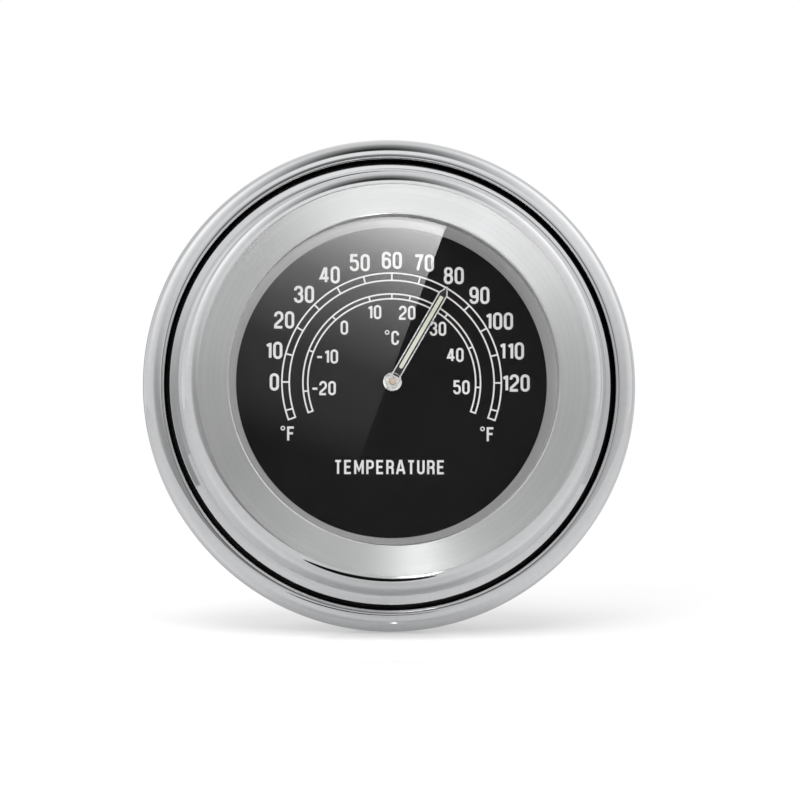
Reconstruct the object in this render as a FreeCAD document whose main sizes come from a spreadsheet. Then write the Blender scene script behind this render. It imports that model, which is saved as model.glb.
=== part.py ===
"""Dial thermometer: a bimetal capsule that turns in a chromed holder cup.

All sizes are in millimetres. Every piece is modelled about its own z axis with the dial facing
+z, then placed with that axis along -Y of the part, so that the dial faces -Y and 12 o'clock is
+Z. The part's origin is the mouth of the threaded hole in the back of the holder cup, and a
piece's station is how far it starts in front of that mouth.
"""
import FreeCAD, Part
import math
import operator
import os
from types import SimpleNamespace

import Sketcher
from FreeCAD import Placement, Rotation, Vector

# The driving dimensions, one cell each in the sheet.
SIZES = {
    # dial and glass, from which the rings around them follow outwards
    "dial_view_radius": 14.7,
    "dial_thickness": 0.4,
    "dial_ledge": 0.8,
    "dial_fit": 0.15,
    "reflector_flare": 0.74,
    "reflector_depth": 2.2,
    "reflector_fit": 0.1,
    "lens_overlap": 1.16,
    "lens_fit": 0.35,
    "lens_thickness": 1.5,
    "lens_chamfer": 0.2,
    "lens_gasket_inset": 0.16,
    "lens_gasket_thickness": 0.3,
    # bezel
    "neck_wall": 1.85,
    "neck_gap": 0.7,
    "bezel_fit": 0.05,
    "bezel_wall": 1.6,
    "bezel_height": 5.6,
    "bezel_lip": 0.8,
    "bezel_draft": 0.75,
    "shoulder_round": 1.35,
    "window_round": 0.2,
    # capsule case
    "flange_step": 0.55,
    "flange_thickness": 1.0,
    "flange_round": 0.3,
    "flange_gap": 0.45,
    "flange_sink": 0.1,
    "case_gap": 0.85,
    "case_chamfer": 0.5,
    "back_seat_width": 1.6,
    "back_thickness": 0.8,
    "back_fit": 0.1,
    "back_notch_radius": 1.5,
    "gasket_inset": 0.2,
    "gasket_thickness": 0.4,
    # retaining ring
    "ring_section_radius": 0.72,
    "ring_gap": 0.05,
    "ring_groove_gap": 0.02,
    "ring_side_gap": 0.08,
    # holder cup
    "lip_inner_round": 0.3,
    "lip_round": 1.75,
    "bead_round": 0.9,
    "foot_round": 3.5,
    "floor_thickness": 2.0,
    "seat_width": 2.65,
    "seat_gap": 0.05,
    "seat_rise": 4.0,
    "cup_bore_depth": 6.0,
    "boss_radius": 8.5,
    "boss_rise": 1.0,
    "hub_wall": 3.9,
    "thread_core_radius": 2.1,
    "thread_depth": 5.0,
    "thread_cap": 1.0,
    # pointer
    "pointer_length": 10.45,
    "pointer_width": 0.9,
    "pointer_tip": 0.8,
    "pointer_thickness": 0.25,
    "pointer_disc_radius": 0.88,
    "lume_width": 0.42,
    "lume_start": 1.5,
    "lume_tip_gap": 1.15,
    "lume_end_round": 0.3,
    "rivet_boss_height": 0.5,
    "rivet_boss_wall": 0.2,
    "rivet_neck_wall": 0.15,
    "rivet_head_lap": 0.14,
    "rivet_head_height": 0.1,
    "hub_lift": 0.15,
    "rest_reading": 80.0,
    "middle_reading": 60.0,
    "degrees_of_turn_per_degree": 1.5,
    # movement behind the dial
    "arbor_radius": 0.35,
    "arbor_nose": 0.15,
    "pivot_shoulder": 0.1,
    "pivot_length": 0.9,
    "running_gap": 0.03,
    "bush_wall": 0.42,
    "bush_proud": 0.15,
    "bush_flange_width": 1.2,
    "bush_flange_thickness": 0.6,
    "pillar_offset": 9.0,
    "pillar_wall": 0.4,
    "pillar_height": 3.7,
    "screw_radius": 0.7,
    "screw_reach": 1.6,
    "screw_head_lap": 0.5,
    "screw_head_height": 0.6,
    "bridge_thickness": 0.6,
    "bridge_half_width": 2.0,
    "bridge_end_bulge": 0.4,
    "bridge_overhang": 1.8,
    "rear_bush_step": 0.2,
    "collet_wall": 0.75,
    "collet_margin": 0.2,
    "collet_lift": 0.4,
    "strip_thickness": 0.2,
    "strip_width": 1.6,
    "coil_pitch": 0.75,
    "coil_gap": 0.03,
    "anchor_turn_gap": 0.15,
    "anchor_slot_gap": 0.06,
}
COIL_HALF_TURNS = 12

ARITHMETIC = {"+": operator.add, "-": operator.sub, "*": operator.mul, "/": operator.truediv}

# Sketcher's numbers for the points of an edge, and for its own axes, which it counts down from -1.
START, END, CENTRE = range(1, 4)
ACROSS_AXIS, UP_AXIS = range(-1, -3, -1)
ORIGIN = (ACROSS_AXIS, START)


class Size:
    """A length with its number and the formula that ties it to the sheet."""

    def __init__(self, number, formula):
        self.number = number
        self.formula = formula

    def __add__(self, other):
        return combine(self, "+", other)

    def __sub__(self, other):
        return combine(self, "-", other)

    def __mul__(self, other):
        return combine(self, "*", other)

    def __rmul__(self, other):
        return combine(other, "*", self)

    def __truediv__(self, other):
        return combine(self, "/", other)

    def __neg__(self):
        return combine(-1, "*", self)


def as_size(value):
    """Return value as a Size, so that plain numbers and sizes mix."""
    if isinstance(value, Size):
        return value
    return Size(value, repr(value))


def combine(left, sign, right):
    """Work out left sign right, both as a number and as a formula."""
    left = as_size(left)
    right = as_size(right)
    number = ARITHMETIC[sign](left.number, right.number)
    return Size(number, f"({left.formula} {sign} {right.formula})")


size = SimpleNamespace(**{name: Size(value, f"sizes.{name}") for name, value in SIZES.items()})


def make_sheet(doc):
    """Write the driving dimensions into the document's spreadsheet."""
    sheet = doc.addObject("Spreadsheet::Sheet", "sizes")
    for row, (name, value) in enumerate(SIZES.items(), start=1):
        sheet.set(f"A{row}", name)
        sheet.set(f"B{row}", str(value))
        sheet.setAlias(f"B{row}", name)
    doc.recompute()


# Sketch and feature helpers -----------------------------------------------------------------

def place(piece, station, x=0):
    """Face the piece towards -Y, with its own zero at the station and x to the right."""
    piece.Placement = Placement(Vector(), Rotation(Vector(1, 0, 0), 90))
    piece.setExpression("Placement.Base.x", as_size(x).formula)
    piece.setExpression("Placement.Base.y", (-as_size(station)).formula)


def new_body(doc, name, station, x=0):
    """Start a body that is one sub-part."""
    body = doc.addObject("PartDesign::Body", name)
    body.Label = name
    place(body, station, x)
    return body


def new_sketch(body, name, plane, lift=None, turn=None):
    """Attach an empty sketch to one of the body's own origin planes."""
    sketch = body.newObject("Sketcher::SketchObject", f"{body.Name}_{name}")
    support = next(item for item in body.Origin.OriginFeatures if item.Role == plane)
    sketch.AttachmentSupport = [(support, "")]
    sketch.MapMode = "FlatFace"
    if lift is not None:
        sketch.setExpression("AttachmentOffset.Base.z", lift.formula)
    if turn is not None:
        sketch.AttachmentOffset = Placement(Vector(), Rotation(Vector(0, 0, 1), turn.number))
        sketch.setExpression("AttachmentOffset.Rotation.Angle", turn.formula)
    return sketch


def bind(sketch, kind, *targets, length):
    """Add a constraint whose value follows the sheet."""
    index = sketch.addConstraint(Sketcher.Constraint(kind, *targets, length.number))
    sketch.setExpression(f"Constraints[{index}]", length.formula)


def pin(sketch, point, x, y):
    """Hold a sketch point at (x, y)."""
    for kind, axis, value in (("DistanceX", UP_AXIS, x), ("DistanceY", ACROSS_AXIS, y)):
        value = as_size(value)
        if value.number == 0:
            sketch.addConstraint(Sketcher.Constraint("PointOnObject", *point, axis))
        else:
            bind(sketch, kind, *ORIGIN, *point, length=value)


def arc_between(start, finish, radius):
    """Arc of up to half a circle; it turns left for a positive radius and right for a negative."""
    chord = finish - start
    left = Vector(-chord.y, chord.x, 0).normalize()
    reach = math.sqrt(max(radius ** 2 - (chord.Length / 2) ** 2, 0))
    centre = (start + finish) * 0.5 + left * math.copysign(reach, radius)
    circle = Part.Circle(centre, Vector(0, 0, 1), abs(radius))
    first, last = (start, finish) if radius > 0 else (finish, start)
    angles = [math.atan2(point.y - centre.y, point.x - centre.x) for point in (first, last)]
    return Part.ArcOfCircle(circle, *angles)


def outline(sketch, corners):
    """Draw a closed line through (x, y) corners; a corner (x, y, radius) is reached by an arc."""
    edges = []
    points = [Vector(as_size(corner[0]).number, as_size(corner[1]).number, 0) for corner in corners]
    for index, corner in enumerate(corners):
        start, finish = points[index - 1], points[index]
        if len(corner) == 2:
            edges.append((sketch.addGeometry(Part.LineSegment(start, finish)), START, END))
            continue
        arc = sketch.addGeometry(arc_between(start, finish, corner[2].number))
        ends = (START, END) if corner[2].number > 0 else (END, START)
        edges.append((arc, *ends))
    for index, (edge, start, finish) in enumerate(edges):
        following, its_start, _ = edges[(index + 1) % len(edges)]
        sketch.addConstraint(Sketcher.Constraint("Coincident", edge, finish, following, its_start))
        pin(sketch, (edge, finish), *corners[index][:2])
        if len(corners[index]) == 3:
            radius = corners[index][2]
            bind(sketch, "Radius", edge, length=radius if radius.number > 0 else -radius)


def circle(sketch, radius, x=0, y=0):
    """Draw a full circle about (x, y)."""
    centre = Vector(as_size(x).number, as_size(y).number, 0)
    edge = sketch.addGeometry(Part.Circle(centre, Vector(0, 0, 1), radius.number))
    pin(sketch, (edge, CENTRE), x, y)
    bind(sketch, "Radius", edge, length=radius)


def turned(doc, name, station, corners, x=0):
    """A turned piece: the half section in (radius, height) corners, swept about its axis."""
    body = new_body(doc, name, station, x)
    section = new_sketch(body, "section", "XZ_Plane")
    outline(section, corners)
    turning = body.newObject("PartDesign::Revolution", f"{name}_turning")
    turning.Profile = section
    turning.ReferenceAxis = (section, ["V_Axis"])
    turning.Angle = 360
    return body


def pad(body, sketch, height):
    """Raise the sketch by height."""
    feature = body.newObject("PartDesign::Pad", f"{sketch.Name}_pad")
    feature.Profile = sketch
    feature.setExpression("Length", height.formula)


def pocket(body, sketch, depth, upwards):
    """Cut the sketch into the body, towards +z if upwards and towards -z if not."""
    feature = body.newObject("PartDesign::Pocket", f"{sketch.Name}_pocket")
    feature.Profile = sketch
    feature.Reversed = upwards
    feature.setExpression("Length", depth.formula)


def washer(doc, name, station, inner_radius, outer_radius, height):
    """A flat ring."""
    return turned(doc, name, station, [
        (inner_radius, 0), (outer_radius, 0), (outer_radius, height), (inner_radius, height)])


# Sizes worked out from the driving dimensions -------------------------------------------------

window_radius = size.dial_view_radius + size.reflector_flare
lens_radius = window_radius + size.lens_overlap
barrel_radius = lens_radius + size.lens_fit
dial_radius = barrel_radius - size.dial_fit
cavity_radius = dial_radius - size.dial_ledge
neck_radius = barrel_radius + size.neck_wall
skirt_radius = neck_radius + size.bezel_fit
bezel_radius = skirt_radius + size.bezel_wall
flange_radius = bezel_radius + size.flange_step
bore_radius = flange_radius + size.flange_gap
case_radius = bore_radius - size.case_gap
ring_radius = bore_radius - size.ring_gap - size.ring_section_radius
back_recess_radius = cavity_radius + size.back_seat_width
back_radius = back_recess_radius - size.back_fit

floor_top = size.boss_rise + size.floor_thickness
seat_station = floor_top + size.seat_rise
lip_station = seat_station + size.cup_bore_depth
case_station = seat_station + size.seat_gap
back_gasket_station = case_station + size.back_thickness
flange_station = lip_station - size.flange_sink
ring_station = flange_station - size.flange_thickness - size.ring_side_gap - size.ring_section_radius
lip_underside = flange_station + size.bezel_height - size.bezel_lip
lens_gasket_station = lip_underside - size.lens_gasket_thickness
lens_station = lens_gasket_station - size.lens_thickness
reflector_station = lens_station - size.reflector_depth
dial_station = reflector_station - size.dial_thickness

hub_station = reflector_station + size.bush_proud + size.hub_lift
blade_station = hub_station + size.rivet_boss_height
arbor_end = blade_station + size.pointer_thickness + size.rivet_head_height + size.arbor_nose
rivet_neck_radius = size.arbor_radius + size.rivet_neck_wall
rest_turn = (size.middle_reading - size.rest_reading) * size.degrees_of_turn_per_degree

bush_bore = size.arbor_radius + size.running_gap
bush_radius = bush_bore + size.bush_wall
pivot_radius = size.arbor_radius - size.pivot_shoulder
bridge_top = dial_station - size.pillar_height
bridge_station = bridge_top - size.bridge_thickness
arbor_station = bridge_top - size.pivot_length
collet_station = bridge_top + size.collet_lift
collet_radius = size.arbor_radius + size.collet_wall
collet_height = size.strip_width + 2 * size.collet_margin
coil_station = collet_station + size.collet_margin
coil_inner_radius = collet_radius + size.coil_gap
anchor_radius = size.coil_pitch - size.strip_thickness / 2 - size.anchor_turn_gap
anchor_offset = coil_inner_radius + size.coil_pitch * (COIL_HALF_TURNS / 2) + size.strip_thickness / 2


# Holder cup ---------------------------------------------------------------------------------

def make_mount_cup(doc):
    """Spun cup with a rounded lip, a seat for the capsule and a threaded boss at the back."""
    crest_radius = bore_radius + size.lip_inner_round
    rim_radius = crest_radius + size.lip_round
    wall_radius = rim_radius - size.bead_round
    rim_station = lip_station - size.lip_round
    seat_radius = bore_radius - size.seat_width
    hub_radius = size.thread_core_radius + size.hub_wall
    hub_top = size.thread_depth + size.thread_cap
    body = turned(doc, "mount_cup", 0, [
        (0, 0),
        (size.boss_radius, 0),
        (size.boss_radius, size.boss_rise),
        (wall_radius - size.foot_round, size.boss_rise),
        (wall_radius, size.boss_rise + size.foot_round, size.foot_round),
        (wall_radius, rim_station - size.bead_round),
        (rim_radius, rim_station, size.bead_round),
        (crest_radius, lip_station, size.lip_round),
        (bore_radius, lip_station - size.lip_inner_round, size.lip_inner_round),
        (bore_radius, seat_station),
        (seat_radius, seat_station),
        (seat_radius, floor_top),
        (hub_radius, floor_top),
        (hub_radius, hub_top),
        (0, hub_top),
    ])
    hole = new_sketch(body, "thread_core", "XY_Plane")
    circle(hole, size.thread_core_radius)
    pocket(body, hole, size.thread_depth, upwards=True)


# Capsule: case, ring, bezel and glass ---------------------------------------------------------

def make_case_body(doc):
    """Turned case: ring groove under the flange, neck for the bezel, ledge for the dial."""
    groove_radius = ring_radius - size.ring_section_radius - size.ring_groove_gap
    groove_width = 2 * size.ring_section_radius + 2 * size.ring_side_gap
    flange_top = flange_station - case_station
    flange_foot = flange_top - size.flange_thickness
    neck_top = lip_underside - size.neck_gap - case_station
    ledge = dial_station - case_station
    recess_top = size.back_thickness + size.gasket_thickness
    turned(doc, "case_body", case_station, [
        (back_recess_radius, 0),
        (case_radius - size.case_chamfer, 0),
        (case_radius, size.case_chamfer),
        (case_radius, flange_foot - groove_width),
        (groove_radius, flange_foot - groove_width),
        (groove_radius, flange_foot),
        (flange_radius, flange_foot),
        (flange_radius, flange_top - size.flange_round),
        (flange_radius - size.flange_round, flange_top, size.flange_round),
        (neck_radius, flange_top),
        (neck_radius, neck_top),
        (barrel_radius, neck_top),
        (barrel_radius, ledge),
        (cavity_radius, ledge),
        (cavity_radius, recess_top),
        (back_recess_radius, recess_top),
    ])


def make_retaining_o_ring(doc):
    """Rubber ring that grips the cup's bore."""
    ring = doc.addObject("Part::Torus", "retaining_o_ring")
    ring.Label = "retaining_o_ring"
    ring.setExpression("Radius1", ring_radius.formula)
    ring.setExpression("Radius2", size.ring_section_radius.formula)
    place(ring, ring_station)


def make_bezel(doc):
    """Bezel with a flat brushed front, a rounded shoulder and a drafted skirt round the neck."""
    top = size.bezel_height
    shoulder_radius = bezel_radius - size.bezel_draft
    lip_foot = top - size.bezel_lip
    turned(doc, "bezel", flange_station, [
        (skirt_radius, 0),
        (bezel_radius, 0),
        (shoulder_radius, top - size.shoulder_round),
        (shoulder_radius - size.shoulder_round, top, size.shoulder_round),
        (window_radius + size.window_round, top),
        (window_radius, top - size.window_round, size.window_round),
        (window_radius, lip_foot),
        (skirt_radius, lip_foot),
    ])


def make_lens(doc):
    """Flat glass with a small chamfer on both edges."""
    chamfer = size.lens_chamfer
    turned(doc, "lens", lens_station, [
        (0, 0),
        (lens_radius - chamfer, 0),
        (lens_radius, chamfer),
        (lens_radius, size.lens_thickness - chamfer),
        (lens_radius - chamfer, size.lens_thickness),
        (0, size.lens_thickness),
    ])


def make_reflector_ring(doc):
    """Conical ring between dial and glass."""
    foot_radius = barrel_radius - size.reflector_fit
    turned(doc, "reflector_ring", reflector_station, [
        (size.dial_view_radius, 0),
        (foot_radius, 0),
        (foot_radius, size.reflector_depth),
        (window_radius, size.reflector_depth),
    ])


def make_case_back(doc):
    """Rear cover with a notch for prying it out."""
    top = size.back_thickness
    body = turned(doc, "case_back", case_station, [
        (0, 0), (back_radius, 0), (back_radius, top), (0, top)])
    notch = new_sketch(body, "notch", "XY_Plane")
    circle(notch, size.back_notch_radius, y=-back_radius)
    pocket(body, notch, top, upwards=True)


# Dial and movement ------------------------------------------------------------------------------

def make_dial_plate(doc):
    """Printed dial with the bush's hole in its centre."""
    washer(doc, "dial_plate", dial_station, bush_radius, dial_radius, size.dial_thickness)


def make_front_bush(doc):
    """Bush that carries the arbor in the dial, flanged against its back."""
    flange = size.bush_flange_thickness
    flange_radius = bush_radius + size.bush_flange_width
    height = flange + size.dial_thickness + size.bush_proud
    turned(doc, "front_bush", dial_station - flange, [
        (bush_bore, 0),
        (flange_radius, 0),
        (flange_radius, flange),
        (bush_radius, flange),
        (bush_radius, height),
        (bush_bore, height),
    ])


def make_pillar_and_screw(doc, side, offset):
    """Pillar on the dial's back, and the screw that holds the bridge to it."""
    pillar_radius = size.screw_radius + size.pillar_wall
    turned(doc, f"dial_pillar_{side}", bridge_top, [
        (size.screw_radius, 0),
        (pillar_radius, 0),
        (pillar_radius, size.pillar_height),
        (0, size.pillar_height),
        (0, size.screw_reach),
        (size.screw_radius, size.screw_reach),
    ], x=offset)
    head = size.screw_head_height
    head_radius = size.screw_radius + size.screw_head_lap
    screw_end = head + size.bridge_thickness + size.screw_reach
    turned(doc, f"bridge_screw_{side}", bridge_station - head, [
        (0, 0),
        (head_radius, 0),
        (head_radius, head),
        (size.screw_radius, head),
        (size.screw_radius, screw_end),
        (0, screw_end),
    ], x=offset)


def make_bridge(doc):
    """Bar behind the coil that carries the rear bush and the coil's anchor."""
    body = new_body(doc, "bridge", bridge_station)
    end = size.pillar_offset + size.bridge_overhang
    half_width = size.bridge_half_width
    bar = new_sketch(body, "bar", "XY_Plane")
    end_round = half_width + size.bridge_end_bulge
    outline(bar, [
        (end, -half_width),
        (end, half_width, end_round),
        (-end, half_width),
        (-end, -half_width, end_round),
    ])
    pad(body, bar, size.bridge_thickness)
    holes = new_sketch(body, "holes", "XY_Plane")
    circle(holes, bush_radius)
    for offset in (-size.pillar_offset, size.pillar_offset):
        circle(holes, size.screw_radius, x=offset)
    pocket(body, holes, size.bridge_thickness, upwards=True)


def make_coil_anchor(doc):
    """Slotted post that holds the outer end of the bimetal strip."""
    body = new_body(doc, "coil_anchor", bridge_top, anchor_offset)
    post = new_sketch(body, "post", "XY_Plane")
    circle(post, anchor_radius)
    height = coil_station - bridge_top + size.strip_width
    pad(body, post, height)
    slot = new_sketch(body, "slot", "XY_Plane", lift=height)
    half_gap = size.strip_thickness / 2 + size.anchor_slot_gap
    reach = anchor_radius * 2
    outline(slot, [(half_gap, -reach), (half_gap, reach), (-half_gap, reach), (-half_gap, -reach)])
    pocket(body, slot, size.strip_width, upwards=False)


def make_bimetal_coil(doc):
    """Flat spiral strip: half circles about two centres, each half a pitch wider than the last."""
    body = new_body(doc, "bimetal_coil", coil_station)
    strip = new_sketch(body, "strip", "XY_Plane")
    sides = ((0, []), (size.strip_thickness, []))
    for half_turn in range(COIL_HALF_TURNS):
        upper = half_turn % 2 == 0
        centre_x = 0 if upper else size.coil_pitch / 2
        centre = Vector(as_size(centre_x).number, 0, 0)
        angles = (0, math.pi) if upper else (math.pi, 2 * math.pi)
        for offset, arcs in sides:
            radius = coil_inner_radius + size.coil_pitch * (half_turn / 2) + offset
            whole = Part.Circle(centre, Vector(0, 0, 1), radius.number)
            arc = strip.addGeometry(Part.ArcOfCircle(whole, *angles))
            pin(strip, (arc, CENTRE), centre_x, 0)
            bind(strip, "Radius", arc, length=radius)
            for end in (START, END):
                strip.addConstraint(Sketcher.Constraint("PointOnObject", arc, end, ACROSS_AXIS))
            arcs.append(arc)
    for position, end in ((0, START), (-1, END)):
        inner, outer = (arcs[position] for _, arcs in sides)
        ends = [strip.getPoint(arc, end) for arc in (inner, outer)]
        cap = strip.addGeometry(Part.LineSegment(*ends))
        strip.addConstraint(Sketcher.Constraint("Coincident", cap, START, inner, end))
        strip.addConstraint(Sketcher.Constraint("Coincident", cap, END, outer, end))
    pad(body, strip, size.strip_width)


def make_arbor(doc):
    """Pointer shaft with a thinner pivot in the rear bush."""
    length = arbor_end - arbor_station
    turned(doc, "arbor", arbor_station, [
        (0, 0),
        (pivot_radius, 0),
        (pivot_radius, size.pivot_length),
        (size.arbor_radius, size.pivot_length),
        (size.arbor_radius, length),
        (0, length),
    ])


# Pointer ------------------------------------------------------------------------------------------

def make_pointer_hub(doc):
    """Rivet that joins the blade to the arbor."""
    boss_top = size.rivet_boss_height
    neck_top = boss_top + size.pointer_thickness
    head_top = neck_top + size.rivet_head_height
    boss_radius = rivet_neck_radius + size.rivet_boss_wall
    head_radius = rivet_neck_radius + size.rivet_head_lap
    turned(doc, "pointer_hub", hub_station, [
        (size.arbor_radius, 0),
        (boss_radius, 0),
        (boss_radius, boss_top),
        (rivet_neck_radius, boss_top),
        (rivet_neck_radius, neck_top),
        (head_radius, neck_top),
        (head_radius, head_top),
        (size.arbor_radius, head_top),
    ])


def draw_lume_slot(body):
    """Sketch of the long slot in the blade, which the lume fills."""
    slot = new_sketch(body, "slot", "XY_Plane", turn=rest_turn)
    side = size.lume_width / 2
    end = size.pointer_length - size.lume_tip_gap
    outline(slot, [
        (side, size.lume_start, size.lume_end_round),
        (side, end),
        (-side, end, size.lume_end_round),
        (-side, size.lume_start),
    ])
    return slot


def make_pointer(doc):
    """Stamped blade: a disc with a straight arm, a pointed tip and a slot for the lume."""
    body = new_body(doc, "pointer", blade_station)
    disc = new_sketch(body, "disc", "XY_Plane")
    circle(disc, size.pointer_disc_radius)
    pad(body, disc, size.pointer_thickness)
    arm = new_sketch(body, "arm", "XY_Plane", turn=rest_turn)
    side = size.pointer_width / 2
    shoulder = size.pointer_length - size.pointer_tip
    outline(arm, [
        (side, 0), (side, shoulder), (0, size.pointer_length), (-side, shoulder), (-side, 0)])
    pad(body, arm, size.pointer_thickness)
    hole = new_sketch(body, "hole", "XY_Plane")
    circle(hole, rivet_neck_radius)
    pocket(body, hole, size.pointer_thickness, upwards=True)
    pocket(body, draw_lume_slot(body), size.pointer_thickness, upwards=True)


def make_pointer_lume(doc):
    """Strip of luminous paint in the blade's slot."""
    body = new_body(doc, "pointer_lume", blade_station)
    pad(body, draw_lume_slot(body), size.pointer_thickness)


# Document -----------------------------------------------------------------------------------------

def make_rings(doc):
    """The flat rings: both gaskets, the rear bush and the coil's collet."""
    washer(doc, "lens_gasket", lens_gasket_station,
           window_radius + size.lens_gasket_inset, lens_radius, size.lens_gasket_thickness)
    washer(doc, "back_gasket", back_gasket_station,
           cavity_radius + size.gasket_inset, back_radius, size.gasket_thickness)
    washer(doc, "rear_bush", bridge_station - size.rear_bush_step,
           pivot_radius + size.running_gap, bush_radius,
           size.bridge_thickness + size.rear_bush_step)
    washer(doc, "coil_collet", collet_station, size.arbor_radius, collet_radius, collet_height)


def write_parts(doc):
    """Check every object and write each sub-part to its own file."""
    doc.recompute()
    broken = [item.Name for item in doc.Objects if {"Invalid", "Error"} & set(item.State)]
    if broken:
        raise RuntimeError(f"objects that failed to build: {broken}")
    pieces = [item for item in doc.Objects if item.TypeId in ("PartDesign::Body", "Part::Torus")]
    for piece in pieces:
        if piece.Shape.isNull() or not piece.Shape.isValid() or len(piece.Shape.Solids) != 1:
            raise RuntimeError(f"{piece.Label} is not one valid solid")
    os.makedirs("parts", exist_ok=True)
    for piece in pieces:
        piece.Shape.exportStep(f"parts/{piece.Label}.step")
        print(f"{piece.Label}: {piece.Shape.Volume:.3f} mm3")


def main():
    doc = FreeCAD.newDocument("dial_thermometer")
    make_sheet(doc)
    make_mount_cup(doc)
    make_case_body(doc)
    make_retaining_o_ring(doc)
    make_bezel(doc)
    make_lens(doc)
    make_reflector_ring(doc)
    make_case_back(doc)
    make_dial_plate(doc)
    make_front_bush(doc)
    for side, offset in (("left", -size.pillar_offset), ("right", size.pillar_offset)):
        make_pillar_and_screw(doc, side, offset)
    make_bridge(doc)
    make_coil_anchor(doc)
    make_bimetal_coil(doc)
    make_arbor(doc)
    make_pointer_hub(doc)
    make_pointer(doc)
    make_pointer_lume(doc)
    make_rings(doc)
    write_parts(doc)


main()
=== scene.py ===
import math
from types import SimpleNamespace

import bmesh
import bpy
import numpy as np
from mathutils import Matrix, Vector


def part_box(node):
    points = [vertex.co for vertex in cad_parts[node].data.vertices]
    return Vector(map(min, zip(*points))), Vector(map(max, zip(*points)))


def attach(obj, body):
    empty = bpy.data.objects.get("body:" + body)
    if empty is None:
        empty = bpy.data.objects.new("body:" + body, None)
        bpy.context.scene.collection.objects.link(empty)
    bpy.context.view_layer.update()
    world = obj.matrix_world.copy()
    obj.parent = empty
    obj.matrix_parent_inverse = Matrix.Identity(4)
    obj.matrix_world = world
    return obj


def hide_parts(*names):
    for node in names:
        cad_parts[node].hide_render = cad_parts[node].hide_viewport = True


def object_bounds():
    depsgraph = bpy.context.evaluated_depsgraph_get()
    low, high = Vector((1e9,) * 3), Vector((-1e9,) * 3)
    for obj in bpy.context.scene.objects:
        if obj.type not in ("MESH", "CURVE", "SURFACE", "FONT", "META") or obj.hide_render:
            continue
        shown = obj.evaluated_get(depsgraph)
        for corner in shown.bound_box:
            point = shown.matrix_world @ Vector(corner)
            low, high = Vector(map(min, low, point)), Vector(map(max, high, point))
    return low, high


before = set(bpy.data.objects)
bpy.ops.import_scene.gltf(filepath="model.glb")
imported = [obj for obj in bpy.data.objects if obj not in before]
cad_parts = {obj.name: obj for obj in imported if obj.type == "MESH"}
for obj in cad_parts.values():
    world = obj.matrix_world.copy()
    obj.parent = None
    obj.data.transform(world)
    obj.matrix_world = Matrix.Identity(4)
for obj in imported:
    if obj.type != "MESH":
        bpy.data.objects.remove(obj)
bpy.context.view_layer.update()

# Sizes ---------------------------------------------------
# Radii and stations are in millimetres. A station is a distance in front of the hole in the
# holder's back, so it grows towards the dial.

MM = 0.001
TURN_STEPS = 320
SMALL_STEPS = 96
EDGE_BREAK = 0.05
ARC_STEP = math.radians(5)
HOLD = 0.03


def stations(node):
    """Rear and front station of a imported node."""
    low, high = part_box(node)
    return -high.y / MM, -low.y / MM


def reach(node):
    """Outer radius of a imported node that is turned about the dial's axis."""
    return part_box(node)[1].x / MM


# Mesh helpers --------------------------------------------

def grid_faces(rows, columns, wrap_rows=False, wrap_columns=False):
    """Quads of a grid whose points are numbered row by row: (r, c), (r, c+1), (r+1, c+1), (r+1, c)."""
    row, column = np.meshgrid(
        np.arange(rows if wrap_rows else rows - 1),
        np.arange(columns if wrap_columns else columns - 1),
        indexing="ij",
    )
    here, there = row * columns, (row + 1) % rows * columns
    beside = (column + 1) % columns
    corners = [here + column, here + beside, there + beside, there + column]
    return np.stack(corners, axis=-1).reshape(-1, 4)


def to_part(across, up, station):
    """Dial coordinates in millimetres as part points in metres: x across, z up, y minus station."""
    across, up, station = np.broadcast_arrays(across, up, station)
    return np.stack([across, -station, up], axis=-1).reshape(-1, 3) * MM


def in_scene(name, data):
    """New object in the scene that holds a mesh, a lamp or a camera."""
    made = bpy.data.objects.new(name, data)
    bpy.context.scene.collection.objects.link(made)
    return made


def make_piece(name, points, faces, body, materials, slot=None, smooth=35):
    """Mesh object from points and faces, closed at seams and poles, with its faces turned outwards."""
    mesh = bpy.data.meshes.new(name)
    mesh.from_pydata(points.tolist(), [], faces.tolist())
    shell = bmesh.new()
    shell.from_mesh(mesh)
    bmesh.ops.remove_doubles(shell, verts=shell.verts, dist=1e-7)
    bmesh.ops.recalc_face_normals(shell, faces=shell.faces)
    shell.to_mesh(mesh)
    shell.free()
    mesh.shade_smooth()
    mesh.set_sharp_from_angle(angle=math.radians(smooth))
    for material in materials:
        mesh.materials.append(material)
    piece = in_scene(name, mesh)
    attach(piece, body)
    return piece


def face_facts(mesh):
    """Radius about the dial's axis in millimetres and normal of every face."""
    centre = np.empty(len(mesh.polygons) * 3)
    normal = np.empty(len(mesh.polygons) * 3)
    mesh.polygons.foreach_get("center", centre)
    mesh.polygons.foreach_get("normal", normal)
    centre = centre.reshape(-1, 3) / MM
    return np.hypot(centre[:, 0], centre[:, 2]), normal.reshape(-1, 3)


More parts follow.
